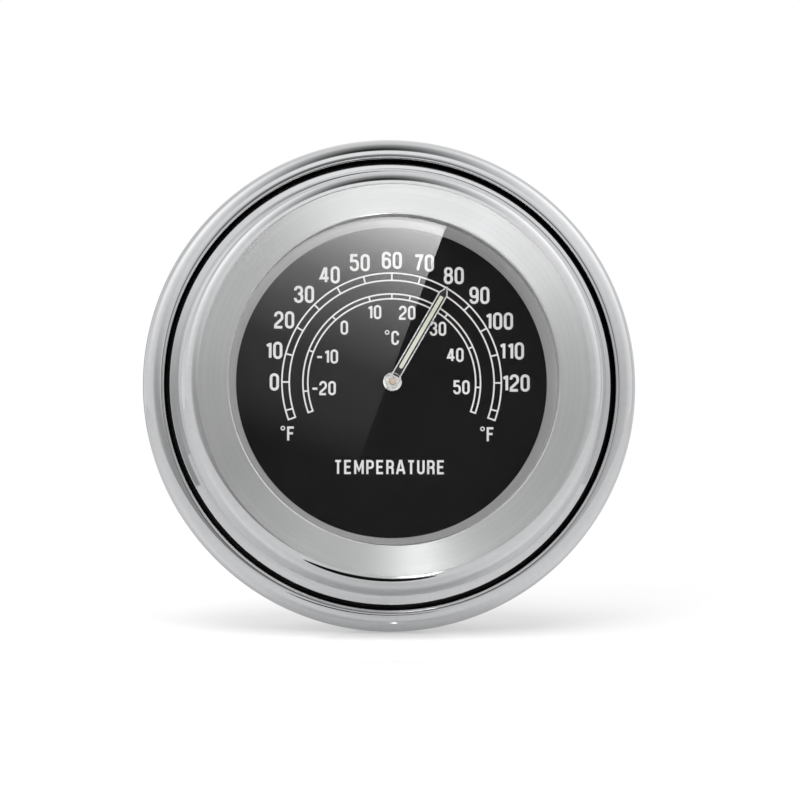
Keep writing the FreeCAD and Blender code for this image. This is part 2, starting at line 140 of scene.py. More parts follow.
def soften(corners, closed, edge=EDGE_BREAK):
    """Section with its corners rounded.

    A corner c between unit directions u and v, with half angle a between them, becomes an arc of
    radius q about c + (u + v) / |u + v| * q / sin a. The arc meets the runs at q / tan a from c,
    and where a run is longer than its arcs need, a point HOLD further on keeps the flat beside it flat.
    """
    places = np.array([corner[:2] for corner in corners], float)
    rounds = np.array([corner[2] if len(corner) > 2 else edge for corner in corners], float)
    if not closed:
        rounds[[0, -1]] = 0
    ahead = np.roll(places, -1, axis=0) - places
    length = np.linalg.norm(ahead, axis=1)
    forward = ahead / length[:, None]
    backward = -np.roll(forward, 1, axis=0)
    half = np.arccos(np.clip(np.sum(forward * backward, axis=1), -1, 1)) / 2
    rounds[half > math.radians(89.5)] = 0
    setback = rounds / np.tan(half)
    spare = length - setback - np.roll(setback, -1)
    hold = np.stack([np.roll(spare, 1), spare], axis=1) / 3
    section = []
    for here, u, v, a, q, back, (rear_hold, front_hold) in zip(
            places, backward, forward, half, rounds, setback, hold):
        if q == 0:
            section.append(here[None])
            continue
        centre = here + (u + v) / np.linalg.norm(u + v) * q / math.sin(a)
        first, last = here + u * back - centre, here + v * back - centre
        sweep = math.pi - 2 * a
        share = np.linspace(0, 1, max(4, math.ceil(sweep / ARC_STEP)))[:, None]
        arc = (first * np.sin((1 - share) * sweep) + last * np.sin(share * sweep)) / math.sin(sweep)
        if rear_hold > 1e-3:
            section.append((centre + first + u * min(HOLD, rear_hold))[None])
        section.append(centre + arc)
        if front_hold > 1e-3:
            section.append((centre + last + v * min(HOLD, front_hold))[None])
    return np.concatenate(section)


def revolve(radius, station, steps, closed):
    """Rows turned about the axis: (radius, station) goes to (radius sin t, -station, radius cos t)."""
    turn = np.linspace(0, 2 * math.pi, steps, endpoint=False)
    points = to_part(radius * np.sin(turn), radius * np.cos(turn), station)
    return points, grid_faces(len(radius), steps, wrap_rows=closed, wrap_columns=True)


def turned(name, corners, body, materials, slot, closed=True, steps=TURN_STEPS):
    """Solid of revolution from the corners of its section."""
    section = soften(corners, closed)
    solid = revolve(section[:, :1], section[:, 1:], steps, closed)
    return make_piece(name, *solid, body, materials, slot)


def ribbon(path, width, low, high, closed=False):
    """Flat bar along a path: a rectangle, width by height, carried along it with mitred bends.

    At a point between runs with unit normals m and n, its edges lie at
    (m + n) / (1 + m . n) * width / 2 on both sides of the path.
    """
    path = np.asarray(path, float)
    if closed:
        runs = np.roll(path, -1, axis=0) - path
    else:
        runs = np.diff(path, axis=0)
        runs = np.concatenate([runs, runs[-1:]])
    normals = np.stack([-runs[:, 1], runs[:, 0]], axis=1) / np.linalg.norm(runs, axis=1)[:, None]
    before = np.roll(normals, 1, axis=0)
    if not closed:
        before[0] = normals[0]
    spread = 1 + np.sum(before * normals, axis=1, keepdims=True)
    side = (before + normals) / np.maximum(spread, 0.4) * width / 2
    left, right = path + side, path - side
    flat = np.stack([left, right, right, left], axis=1)
    station = np.broadcast_to(np.array([high, high, low, low], float), flat.shape[:2])
    points = to_part(flat[..., 0], flat[..., 1], station)
    faces = grid_faces(len(path), 4, wrap_rows=closed, wrap_columns=True)
    if not closed:
        ends = np.array([[0, 1, 2, 3], [3, 2, 1, 0]]) + np.array([[0], [4 * (len(path) - 1)]])
        faces = np.concatenate([faces, ends])
    return points, faces


def gathered(shapes):
    """Several (points, faces) pairs as one."""
    starts = np.cumsum([0] + [len(points) for points, _ in shapes[:-1]])
    faces = [faces + start for (_, faces), start in zip(shapes, starts)]
    return np.concatenate([points for points, _ in shapes]), np.concatenate(faces)


def slab(edge, low, high):
    """Flat plate with a straight-sided edge: the outline at both stations, closed by fans."""
    edge = np.asarray(edge, float)
    middle = edge.mean(axis=0)
    hub = middle[None].repeat(len(edge), 0)
    flat = np.stack([hub, edge, edge, hub])
    station = np.array([low, low, high, high], float)[:, None]
    points = to_part(flat[..., 0], flat[..., 1], station)
    return points, grid_faces(4, len(edge), wrap_columns=True)


def turned_by(points, clockwise):
    """Dial points turned clockwise by an angle in degrees: (x cos a + y sin a, y cos a - x sin a)."""
    a = math.radians(clockwise)
    points = np.asarray(points, float)
    return points @ np.array([[math.cos(a), -math.sin(a)], [math.sin(a), math.cos(a)]])


def on_dial(clockwise, radius):
    """Dial point at a clockwise angle in degrees from 12 o'clock: (r sin a, r cos a)."""
    a = np.radians(clockwise)
    return np.stack([radius * np.sin(a), radius * np.cos(a)], axis=-1)


# Node helpers --------------------------------------------

def add(tree, kind, inputs=None, **settings):
    """New node with its settings, its fixed inputs, and links for inputs that are sockets."""
    made = tree.nodes.new(kind)
    for key, value in settings.items():
        setattr(made, key, value)
    for key, value in (inputs or {}).items():
        if isinstance(value, bpy.types.NodeSocket):
            tree.links.new(value, made.inputs[key])
        else:
            made.inputs[key].default_value = value
    return made


def sum_of(tree, operation, first, second=0.0):
    """Math node's output."""
    return add(tree, "ShaderNodeMath", {0: first, 1: second}, operation=operation).outputs[0]


def grey(level):
    """The same level three times: a neutral colour."""
    return (level,) * 3


def blend(tree, share, first, second):
    """Colour between two others."""
    return add(tree, "ShaderNodeMix", {0: share, 6: first, 7: second}, data_type="RGBA").outputs[2]


def new_group(name, numbers, masks):
    """Shader node group over coordinates, with named numbers in and named masks out.

    It gives the group's tree and the sockets of its input node.
    """
    tree = bpy.data.node_groups.new(name, "ShaderNodeTree")
    tree.interface.new_socket(name="Coordinates", in_out="INPUT", socket_type="NodeSocketVector")
    for label, value in numbers.items():
        socket = tree.interface.new_socket(name=label, in_out="INPUT", socket_type="NodeSocketFloat")
        socket.default_value = value
    for label in masks:
        tree.interface.new_socket(name=label, in_out="OUTPUT", socket_type="NodeSocketFloat")
    return tree, tree.nodes.new("NodeGroupInput").outputs


def surface_grain_group():
    """Grain, patches and hairline marks that any finish can use at its own scale."""
    numbers = {"Grain Size": 0.0003, "Patch Size": 0.004}
    tree, given = new_group("surface_grain", numbers, ("Grain", "Patches", "Hairlines"))
    place = given["Coordinates"]
    fine = sum_of(tree, "DIVIDE", 1.0, given["Grain Size"])
    broad = sum_of(tree, "DIVIDE", 1.0, given["Patch Size"])
    grain = add(tree, "ShaderNodeTexNoise", {"Vector": place, "Scale": fine, "Detail": 3.0})
    patches = add(tree, "ShaderNodeTexNoise", {"Vector": place, "Scale": broad, "Detail": 2.0})
    bent = add(tree, "ShaderNodeVectorMath", {0: patches.outputs["Color"], 1: grey(0.002), 2: place},
               operation="MULTIPLY_ADD")
    cells = add(tree, "ShaderNodeTexVoronoi", {"Vector": bent.outputs[0], "Scale": broad},
                feature="DISTANCE_TO_EDGE")
    hairs = add(tree, "ShaderNodeMapRange", {"Value": cells.outputs["Distance"], "From Min": 0.0,
                                             "From Max": 0.012, "To Min": 1.0, "To Max": 0.0})
    add(tree, "NodeGroupOutput", {"Grain": grain.outputs["Fac"], "Patches": patches.outputs["Fac"],
                                  "Hairlines": hairs.outputs["Result"]})
    return tree


def turned_lines_group():
    """Fine lines round the dial's axis, and bands a few lines wide.

    The lines are noise over the place (breaks cos a, radius / width, breaks sin a), which has no
    seam, and the bands are noise over a share of radius / width alone.
    """
    numbers = {"Line Width": 0.00005, "Line Breaks": 3.0}
    tree, given = new_group("turned_lines", numbers, ("Lines", "Bands"))
    flat = add(tree, "ShaderNodeVectorMath", {0: given["Coordinates"], 1: (1.0, 0.0, 1.0)},
               operation="MULTIPLY").outputs[0]
    radius = add(tree, "ShaderNodeVectorMath", {0: flat}, operation="LENGTH").outputs["Value"]
    way = add(tree, "ShaderNodeVectorMath", {0: flat}, operation="NORMALIZE").outputs[0]
    spread = add(tree, "ShaderNodeVectorMath", {0: way, "Scale": given["Line Breaks"]}, operation="SCALE")
    apart = sum_of(tree, "DIVIDE", radius, given["Line Width"])
    lift = add(tree, "ShaderNodeCombineXYZ", {"Y": apart})
    place = add(tree, "ShaderNodeVectorMath", {0: spread.outputs[0], 1: lift.outputs[0]}, operation="ADD")
    lines = add(tree, "ShaderNodeTexNoise", {"Vector": place.outputs[0], "Scale": 1.0, "Detail": 2.0})
    wide = sum_of(tree, "MULTIPLY", apart, 0.12)
    bands = add(tree, "ShaderNodeTexNoise", {"W": wide, "Scale": 1.0, "Detail": 1.0},
                noise_dimensions="1D")
    add(tree, "NodeGroupOutput", {"Lines": lines.outputs["Fac"], "Bands": bands.outputs["Fac"]})
    return tree


SURFACE_GRAIN = surface_grain_group()
TURNED_LINES = turned_lines_group()

# Noise lies mostly between these levels, which the helpers stretch to the whole of a range.
MASK_LOW, MASK_HIGH = 0.3, 0.7


class Finish:
    """Material with a Principled shader, its Object coordinates, and helpers for both."""

    def __init__(self, name, colour, metallic=0.0, roughness=0.5, **settings):
        self.material = bpy.data.materials.new(name)
        self.material.use_nodes = True
        self.tree = self.material.node_tree
        self.shader = self.tree.nodes["Principled BSDF"]
        self.output = self.tree.nodes["Material Output"]
        self.place = add(self.tree, "ShaderNodeTexCoord").outputs["Object"]
        self.set("Base Color", (*colour, 1.0))
        self.set("Metallic", metallic)
        self.set("Roughness", roughness)
        for label, value in settings.items():
            self.set(label.replace("_", " ").title().replace("Ior", "IOR"), value)
        self.material.diffuse_color = (*colour, 1.0)
        self.material.metallic = metallic
        self.material.roughness = roughness

    def set(self, label, value):
        """Fix a socket of the shader, or link it."""
        if isinstance(value, bpy.types.NodeSocket):
            self.tree.links.new(value, self.shader.inputs[label])
        else:
            self.shader.inputs[label].default_value = value

    def group(self, tree, **inputs):
        """Place a node group; underscores in the names of its inputs stand for spaces."""
        values = {label.replace("_", " ").title(): value for label, value in inputs.items()}
        values["Coordinates"] = self.place
        return add(self.tree, "ShaderNodeGroup", values, node_tree=tree).outputs

    def grain(self, grain_size, patch_size):
        return self.group(SURFACE_GRAIN, grain_size=grain_size, patch_size=patch_size)

    def lines(self, line_width, line_breaks=3.0):
        return self.group(TURNED_LINES, line_width=line_width, line_breaks=line_breaks)

    def vary(self, mask, low, high):
        """Value from low to high over the mask's usual span."""
        span = {"Value": mask, "From Min": MASK_LOW, "From Max": MASK_HIGH, "To Min": low, "To Max": high}
        return add(self.tree, "ShaderNodeMapRange", span).outputs[0]

    def tint(self, mask, low, high):
        """Colour from low to high over the mask's usual span."""
        ramp = add(self.tree, "ShaderNodeValToRGB", {"Fac": mask})
        for element, place, colour in zip(ramp.color_ramp.elements, (MASK_LOW, MASK_HIGH), (low, high)):
            element.position = place
            element.color = (*colour, 1.0)
        return ramp.outputs["Color"]

    def bump(self, height, depth, after=None):
        """Normal raised by a height mask; depth is the mask's full height in metres."""
        inputs = {"Height": height, "Distance": depth, "Strength": 1.0}
        if after is not None:
            inputs["Normal"] = after
        return add(self.tree, "ShaderNodeBump", inputs).outputs["Normal"]

    def dress(self, colour, roughness, *bumps):
        """Material with its colour and roughness as (mask, low, high) and its bumps as (mask, depth)."""
        self.set("Base Color", self.tint(*colour))
        self.set("Roughness", self.vary(*roughness))
        normal = None
        for mask, depth in bumps:
            normal = self.bump(mask, depth, normal)
        self.set("Normal", normal)
        return self.material

    def mix(self, share, first, second):
        """Shader between two others."""
        both = {"Fac": share, 1: first.outputs[0], 2: second.outputs[0]}
        return add(self.tree, "ShaderNodeMixShader", both)

    def show(self, shader):
        """Send a shader to the material's output."""
        self.tree.links.new(shader.outputs[0], self.output.inputs["Surface"])


# Finishes ------------------------------------------------

def polished_chrome(name, roughness=0.035):
    """Bright plate: faint cloudiness, hairlines, and a slight waviness left by the buffing wheel."""
    finish = Finish(name, (0.83, 0.835, 0.85), metallic=1.0, roughness=roughness)
    marks = finish.grain(0.0006, 0.006)
    return finish.dress((marks["Grain"], (0.81, 0.815, 0.83), (0.85, 0.855, 0.865)),
                        (marks["Patches"], roughness * 0.7, roughness * 1.5),
                        (marks["Patches"], 4e-6), (marks["Hairlines"], -2e-8))


def brushed_face():
    """Turned face: lines round the axis, so that the light fans out along the radius."""
    finish = Finish("brushed_face", (0.78, 0.785, 0.79), metallic=1.0, roughness=0.26,
                    anisotropic=0.8, anisotropic_rotation=0.25)
    lines = finish.lines(0.00005)
    marks = finish.grain(0.0002, 0.005)
    tangent = add(finish.tree, "ShaderNodeTangent", direction_type="RADIAL", axis="Y")
    finish.set("Tangent", tangent.outputs["Tangent"])
    return finish.dress((lines["Bands"], (0.77, 0.775, 0.78), (0.795, 0.80, 0.805)),
                        (marks["Patches"], 0.25, 0.27), (lines["Lines"], 4e-9))


def satin_silver():
    """Silver lacquer of the ring round the dial, with soft turned lines."""
    finish = Finish("satin_silver", grey(0.79), metallic=0.25, roughness=0.45)
    lines = finish.lines(0.00009, 2.0)
    return finish.dress((lines["Lines"], grey(0.73), grey(0.85)), (lines["Bands"], 0.38, 0.52),
                        (lines["Lines"], 3e-7))


def machined_metal(name, low, high, roughness, line_width=0.00008):
    """Turned or stamped metal of the movement: lines round the axis and slight stains."""
    finish = Finish(name, high, metallic=1.0, roughness=roughness)
    lines = finish.lines(line_width)
    marks = finish.grain(0.0002, 0.003)
    return finish.dress((marks["Patches"], low, high),
                        (marks["Grain"], roughness * 0.8, roughness * 1.25),
                        (lines["Lines"], 4e-7))


def layered_bimetal():
    """Strip of two alloys: coppery and grey tones that change along it."""
    finish = Finish("layered_bimetal", (0.62, 0.5, 0.36), metallic=1.0, roughness=0.35)
    marks = finish.grain(0.00015, 0.0015)
    return finish.dress((marks["Patches"], (0.45, 0.43, 0.40), (0.70, 0.50, 0.30)),
                        (marks["Grain"], 0.28, 0.44), (marks["Grain"], 1e-6))


def moulded_rubber(name, shade):
    """Matt rubber with a fine mould grain and a dusty bloom."""
    finish = Finish(name, grey(shade), roughness=0.6, specular_ior_level=0.35)
    marks = finish.grain(0.00012, 0.003)
    return finish.dress((marks["Patches"], grey(shade * 0.7), grey(shade * 1.5)),
                        (marks["Grain"], 0.5, 0.75), (marks["Grain"], 6e-6))


def paint(name, low, high, roughness, grain_depth, grain_size=0.00012, **settings):
    """Paint or ink: a close grain and a slight change of tone over the surface."""
    finish = Finish(name, high, roughness=roughness, **settings)
    marks = finish.grain(grain_size, 0.004)
    return finish.dress((marks["Patches"], low, high),
                        (marks["Grain"], roughness * 0.85, roughness * 1.15),
                        (marks["Grain"], grain_depth))


def clear_glass():
    """Flat mineral glass; its shadow is let through, so that the dial behind it is lit."""
    finish = Finish("clear_glass", grey(0.99), roughness=0.0, transmission_weight=1.0, ior=1.5)
    marks = finish.grain(0.0004, 0.009)
    finish.set("Normal", finish.bump(marks["Patches"], 2e-8))
    finish.set("Base Color", finish.tint(marks["Patches"], grey(0.985), grey(0.995)))
    rays = add(finish.tree, "ShaderNodeLightPath").outputs
    through = sum_of(finish.tree, "MAXIMUM", rays["Is Shadow Ray"], rays["Is Diffuse Ray"])
    open_air = add(finish.tree, "ShaderNodeBsdfTransparent", {"Color": (*grey(0.955), 1.0)})
    finish.show(finish.mix(through, finish.shader, open_air))
    return finish.material


CHROME = polished_chrome("chrome_plate")
BEZEL_CHROME = polished_chrome("bezel_polish", 0.05)
BRUSHED = brushed_face()
SILVER = satin_silver()
BRASS = machined_metal("turned_brass", (0.62, 0.43, 0.20), (0.76, 0.56, 0.30), 0.3)
STEEL = machined_metal("turned_steel", grey(0.50), grey(0.60), 0.3)
POINTER_METAL = machined_metal("pointer_nickel", (0.72, 0.72, 0.71), (0.84, 0.84, 0.83), 0.28, 0.00004)
ARBOR_BRASS = machined_metal("arbor_end_brass", (0.62, 0.50, 0.38), (0.80, 0.68, 0.54), 0.35, 0.00003)
BIMETAL = layered_bimetal()
BLACK_RUBBER = moulded_rubber("black_rubber", 0.012)
GASKET_RUBBER = moulded_rubber("gasket_rubber", 0.03)
DIAL_BLACK = paint("dial_black", (0.0022, 0.0022, 0.0023), (0.0040, 0.0040, 0.0041), 0.5, 8e-7,
                   specular_ior_level=0.1)
WHITE_INK = paint("white_ink", (0.82, 0.82, 0.81), (0.9, 0.9, 0.89), 0.5, 1.5e-6)
POINTER_BLACK = paint("pointer_black", grey(0.004), grey(0.008), 0.4, 1e-6)
LUME = paint("pale_lume", (0.70, 0.74, 0.60), (0.82, 0.85, 0.73), 0.7, 6e-6, grain_size=0.00008)
GLASS = clear_glass()


# Holder cup ----------------------------------------------

CUP = SimpleNamespace(bore=21.45, wall=22.6, back=1.0, back_round=3.5, boss=8.5, lip_round=1.75,
                      bead_round=0.9, seat_bore=18.8, seat=7.0, floor=3.0, hub=6.0, hub_top=6.0)
THREAD = SimpleNamespace(core=2.1, major=2.48, pitch=0.8, depth=5.0, mouth=2.75, drill=1.9, rows=121,
                         flank=2.6, root=0.15, end=0.15, run_out=0.7)


def threaded_bore(steps):
    """Radius and station of the tapped hole's wall, a grid over station h and turn t.

    The radius is core + (major - core) * ridge(h / pitch - t / 2 pi), where ridge rises and falls
    in straight flanks between narrow flats. A countersink opens the mouth, and the last turn runs
    out into the drilled hole.
    """
    station = np.linspace(0.0, THREAD.depth, THREAD.rows)[:, None]
    turn = np.linspace(0, 2 * math.pi, steps, endpoint=False)
    phase = (station / THREAD.pitch - turn / (2 * math.pi)) % 1.0
    ridge = np.clip(np.abs(phase - 0.5) * THREAD.flank - THREAD.root, 0.0, 1.0)
    run_out = np.clip((THREAD.depth - THREAD.end - station) / THREAD.run_out, 0.0, 1.0)
    radius = THREAD.core + (THREAD.major - THREAD.core) * ridge * run_out
    return np.maximum(radius, THREAD.mouth - station), station.repeat(steps, 1)


def make_cup():
    """Spun cup with a rolled lip, and the tapped hole in its boss."""
    rear, lip = stations("mount_cup")
    rim = reach("mount_cup")
    bead = lip - CUP.lip_round - CUP.bead_round
    section = soften([
        (THREAD.mouth, rear, 0), (CUP.boss, rear, 0.15), (CUP.boss, CUP.back, 0.25),
        (CUP.wall, CUP.back, CUP.back_round), (CUP.wall, bead, 0.25), (rim, bead, CUP.bead_round),
        (rim, lip, CUP.lip_round), (CUP.bore, lip, 0.3), (CUP.bore, CUP.seat, 0.1),
        (CUP.seat_bore, CUP.seat, 0.15), (CUP.seat_bore, CUP.floor, 0.4), (CUP.hub, CUP.floor, 0.4),
        (CUP.hub, CUP.hub_top, 0.3), (0.0, CUP.hub_top, 0),
    ], closed=False)
    drill = np.array([[0.0, THREAD.depth], [THREAD.drill, THREAD.depth]])
    bore = np.stack(threaded_bore(TURN_STEPS), axis=-1)[::-1]
    drill, wall = (rows[:, None].repeat(TURN_STEPS, 1) for rows in (drill, section))
    grid = np.concatenate([drill, bore, wall])
    solid = revolve(grid[..., 0], grid[..., 1], TURN_STEPS, closed=False)
    cup = make_piece("spun_cup", *solid, "holder", [CHROME], "chrome")
    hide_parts("mount_cup")


make_cup()


# Capsule -------------------------------------------------

CASE = SimpleNamespace(cover_bore=17.6, cover_depth=1.2, guide=20.6, groove=19.94, groove_rear=10.36,
                       flange_rear=11.9, flange_front=12.71, shoulder=20.3, shoulder_front=12.9,
                       neck=18.8, neck_bore=16.95, ledge=13.3, bore=16.0)
BEZEL = SimpleNamespace(window=15.44, face=18.36, slope=0.061, edge=19.37, roll=1.5, cone=20.15,
                        cone_fall=2.64, skirt=18.85, lip=0.8)
DIAL_VIEW = 14.7


def make_case():
    """Turned case: ring groove, flange with a soft edge, and the neck inside the bezel."""
    rear, top = stations("case_body")
    flange = reach("case_body")
    case = turned("turned_case", [
        (CASE.cover_bore, rear, 0.1), (CASE.guide, rear, 0.45), (CASE.guide, CASE.groove_rear, 0.1),
        (CASE.groove, CASE.groove_rear, 0.1), (CASE.groove, CASE.flange_rear, 0.1),
        (flange, CASE.flange_rear, 0.2), (flange, CASE.flange_front, 0.15),
        (CASE.shoulder, CASE.shoulder_front, 0.3), (CASE.neck, CASE.shoulder_front),
        (CASE.neck, top, 0.2), (CASE.neck_bore, top, 0.1), (CASE.neck_bore, CASE.ledge),
        (CASE.bore, CASE.ledge),
        (CASE.bore, rear + CASE.cover_depth, 0.1), (CASE.cover_bore, rear + CASE.cover_depth),
    ], "capsule", [CHROME], "chrome")
    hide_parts("case_body")


def make_bezel():
    """Bezel: a brushed face that falls outwards, a rolled edge into a cone, and a drafted skirt."""
    rear, top = stations("bezel")
    edge_fall = (BEZEL.edge - BEZEL.window) * BEZEL.slope
    bezel = turned("bezel_ring", [
        (BEZEL.skirt, rear), (reach("bezel"), rear, 0.12), (BEZEL.cone, top - BEZEL.cone_fall, 0.5),
        (BEZEL.edge, top - edge_fall, BEZEL.roll), (BEZEL.window, top, 0.14),
        (BEZEL.window, top - BEZEL.lip), (BEZEL.skirt, top - BEZEL.lip),
    ], "capsule", [BEZEL_CHROME, BRUSHED], "brushed_bezel")
    radius, normal = face_facts(bezel.data)
    flat = math.cos(math.atan(BEZEL.slope) + math.radians(1))
    brushed = (normal[:, 1] < -flat) & (radius < BEZEL.face)
    bezel.data.polygons.foreach_set("material_index", brushed.astype(np.int32))
    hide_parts("bezel")


def make_reflector():
    """Conical ring from the dial's edge out to the glass."""
    rear, front = stations("reflector_ring")
    rim = reach("reflector_ring")
    ring = turned("reflector_cone", [
        (DIAL_VIEW, rear, 0.03), (rim, rear), (rim, front), (BEZEL.window, front, 0.03),
    ], "capsule", [SILVER], "satin_silver")
    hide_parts("reflector_ring")


make_case()
make_bezel()
make_reflector()


# Printing ------------------------------------------------
# A character is a set of strokes along their centre lines in a box from 0 to 1 both ways. A corner
# is (x, y) or (x, y, round), with the round in cap heights.

def line(*corners):
    """Open stroke, as (closed, corners)."""
    return False, corners


def loop(*corners):
    """Closed stroke, as (closed, corners)."""
    return True, corners


FULL = 0.187
GLYPHS = {
    "0": [loop((0, 0, FULL), (1, 0, FULL), (1, 1, FULL), (0, 1, FULL))],
    "1": [line((1, 0), (1, 1)), line((0.1, 0.80), (0.95, 0.93))],
    "2": [line((0, 0.73), (0, 1, FULL), (1, 1, FULL), (1, 0.58, 0.15), (0, 0.16, 0.1), (0, 0),
               (1.04, 0))],
    "3": [line((0, 0.76), (0, 1, FULL), (0.96, 1, FULL), (0.96, 0.53, 0.15), (0.42, 0.53)),
          line((0.42, 0.53), (1, 0.53, 0.17), (1, 0, FULL), (0, 0, FULL), (0, 0.25))],
    "4": [line((0.74, 0.0), (0.74, 1.0)), line((0.62, 1.0), (-0.04, 0.27), (1.16, 0.27))],
    "5": [line((0.96, 1), (0.08, 1), (0.02, 0.52)),
          line((0.02, 0.56), (0.1, 0.63, 0.05), (1, 0.63, FULL), (1, 0, FULL), (0, 0, FULL), (0, 0.25))],
    "6": [loop((0, 0, FULL), (1, 0, FULL), (1, 0.60, FULL), (0, 0.60, FULL)),
          line((0, 0.3), (0, 1, FULL), (1, 1, FULL), (1, 0.78))],
    "7": [line((0, 1), (1, 1), (0.62, 0.5, 0.3), (0.36, 0))],
    "8": [loop((0.05, 0.54, 0.16), (0.95, 0.54, 0.16), (0.95, 1, 0.17), (0.05, 1, 0.17)),
          loop((0, 0, FULL), (1, 0, FULL), (1, 0.54, FULL), (0, 0.54, FULL))],
    "9": [loop((0, 0.40, FULL), (1, 0.40, FULL), (1, 1, FULL), (0, 1, FULL)),
          line((0, 0.22), (0, 0, FULL), (1, 0, FULL), (1, 0.7))],
    "-": [line((-0.15, 0.45), (1.15, 0.45))],
    "C": [line((1, 0.71), (1, 1, FULL), (0, 1, FULL), (0, 0, FULL), (1, 0, FULL), (1, 0.29))],
    "F": [line((1.05, 1), (0, 1), (0, -0.08)), line((0, 0.52), (0.9, 0.52))],
    "T": [line((-0.08, 1), (1.08, 1)), line((0.5, 1), (0.5, -0.08))],
    "E": [line((1.05, 1), (0, 1), (0, 0), (1.05, 0)), line((0, 0.51), (0.92, 0.51))],
    "M": [line((0, -0.08), (0, 1.08)), line((1, -0.08), (1, 1.08)),
          line((0.02, 1.0), (0.5, 0.22), (0.98, 1.0))],
    "P": [line((0, -0.08), (0, 1), (1, 1, 0.17), (1, 0.44, 0.17), (0, 0.44))],
    "R": [line((0, -0.08), (0, 1), (1, 1, 0.17), (1, 0.48, 0.17), (0, 0.48)),
          line((0.5, 0.48), (0.98, 0.40, 0.1), (1, -0.08))],
    "A": [line((-0.06, -0.08), (0.42, 1.02), (0.58, 1.02), (1.06, -0.08)),
          line((0.2, 0.26), (0.8, 0.26))],
    "U": [line((0, 1.08), (0, 0, FULL), (1, 0, FULL), (1, 1.08))],
}
WIDTHS = {"1": 0.36, "-": 0.42, "M": 0.68, "A": 0.62, "T": 0.50}
USUAL_WIDTH = 0.53
STROKE = 0.155
INK = 0.02
INK_STEP = 0.002
LINE = 0.15

# A band's marks are clockwise angles, and its figures readings with their angles and radii.
BAND_END, BAND_STEPS = 110, 161
TOP_READING, TURN_EACH = 60, 1.5
FIGURE_RADII = {0: 11.1, 10: 11.55, 60: 11.6}
FAHRENHEIT = SimpleNamespace(
    inner=9.62, outer=10.46, ticks=(9.7, 10.4), height=1.65, gap=0.15,
    marks=[(reading - TOP_READING) * TURN_EACH for reading in range(-10, 131, 10)],
    figures={str(reading): ((reading - TOP_READING) * TURN_EACH, FIGURE_RADII.get(reading, 11.76))
             for reading in range(0, 121, 10)})
CELSIUS = SimpleNamespace(
    inner=7.87, outer=8.48, ticks=(7.95, 8.4), height=1.35, gap=0.13,
    marks=[-96, -69, -42, -15, 0, 12, 39, 66, 93],
    figures={"-20": (-95, 6.45), "-10": (-68.3, 6.57), "0": (-41, 6.86), "10": (-14, 6.87),
             "20": (12.4, 6.78), "30": (40.5, 6.73), "40": (66.3, 6.58), "50": (93.7, 6.61)})
UNITS = [("C", (0.04, 4.23), 1.36), ("F", (-9.80, -4.87), 1.34), ("F", (9.07, -4.87), 1.34)]
WORD = SimpleNamespace(text="TEMPERATURE", height=1.34, middle=(-0.21, -8.01), width=10.4)

# Parts of a degree sign and its letter, in cap heights from the middle of the pair.
DEGREE = SimpleNamespace(place=(-0.36, 0.38), radius=0.125, line=0.075, steps=28, letter=(0.2, 0))


def stroke_path(corners, closed):
    """Corners of a stroke with their rounds drawn, as dial points."""
    path = soften(corners, closed, edge=0)
    keep = np.ones(len(path), bool)
    keep[1:] = np.linalg.norm(np.diff(path, axis=0), axis=1) > 1e-6
    return path[keep]


def write(text, height, middle, face, width=None, gap=0.0):
    """Shapes of a line of characters centred on a dial point; width stretches the gaps to fit it."""
    widths = np.array([WIDTHS.get(character, USUAL_WIDTH) for character in text]) * height
    if width is not None:
        gap = (width - widths.sum()) / (len(text) - 1)
    starts = np.concatenate([[0], np.cumsum(widths + gap)[:-1]])
    total = starts[-1] + widths[-1]
    thick = STROKE * height
    shapes = []
    for character, start, across in zip(text, starts, widths):
        corner = np.array(middle) + (start - total / 2 + thick / 2, (thick - height) / 2)
        box = np.array([across - thick, height - thick])
        for layer, (closed, corners) in enumerate(GLYPHS[character]):
            placed = [tuple(corner + box * corner_xy[:2]) + tuple(r * height for r in corner_xy[2:])
                      for corner_xy in corners]
            front = face + INK + INK_STEP * layer
            shapes.append(ribbon(stroke_path(placed, closed), thick, face, front, closed))
    return shapes


def degree_unit(letter, middle, height, face):
    """Degree sign and letter, set closely."""
    middle = np.array(middle)
    turn = np.linspace(0, 360, DEGREE.steps, endpoint=False)
    ring = on_dial(turn, DEGREE.radius * height) + middle + np.multiply(DEGREE.place, height)
    ring = ribbon(ring, DEGREE.line * height, face, face + INK, closed=True)
    return [ring] + write(letter, height, middle + np.multiply(DEGREE.letter, height), face)


def scale_band(band, face):
    """Two arcs joined at their ends as one closed line, the ticks between them, and the figures."""
    turn = np.linspace(-BAND_END, BAND_END, BAND_STEPS)
    arcs = [on_dial(turn, band.outer - LINE / 2), on_dial(turn[::-1], band.inner + LINE / 2)]
    shapes = [ribbon(np.concatenate(arcs), LINE, face, face + INK, closed=True)]
    for mark in band.marks:
        path = on_dial(np.array([mark, mark]), np.array(band.ticks))
        shapes.append(ribbon(path, LINE, face, face + INK + INK_STEP / 2))
    for figure, (clockwise, radius) in band.figures.items():
        shapes += write(figure, band.height, on_dial(clockwise, radius), face, gap=band.gap)
    return shapes


def make_printing():
    """Scales, figures, units and word, laid on the dial as a thin coat of ink."""
    face = stations("dial_plate")[1]
    shapes = scale_band(FAHRENHEIT, face) + scale_band(CELSIUS, face)
    for letter, middle, height in UNITS:
        shapes += degree_unit(letter, middle, height, face)
    shapes += write(WORD.text, WORD.height, WORD.middle, face, width=WORD.width)
    make_piece("dial_printing", *gathered(shapes), "capsule", [WHITE_INK], smooth=20)


make_printing()


# Pointer -------------------------------------------------

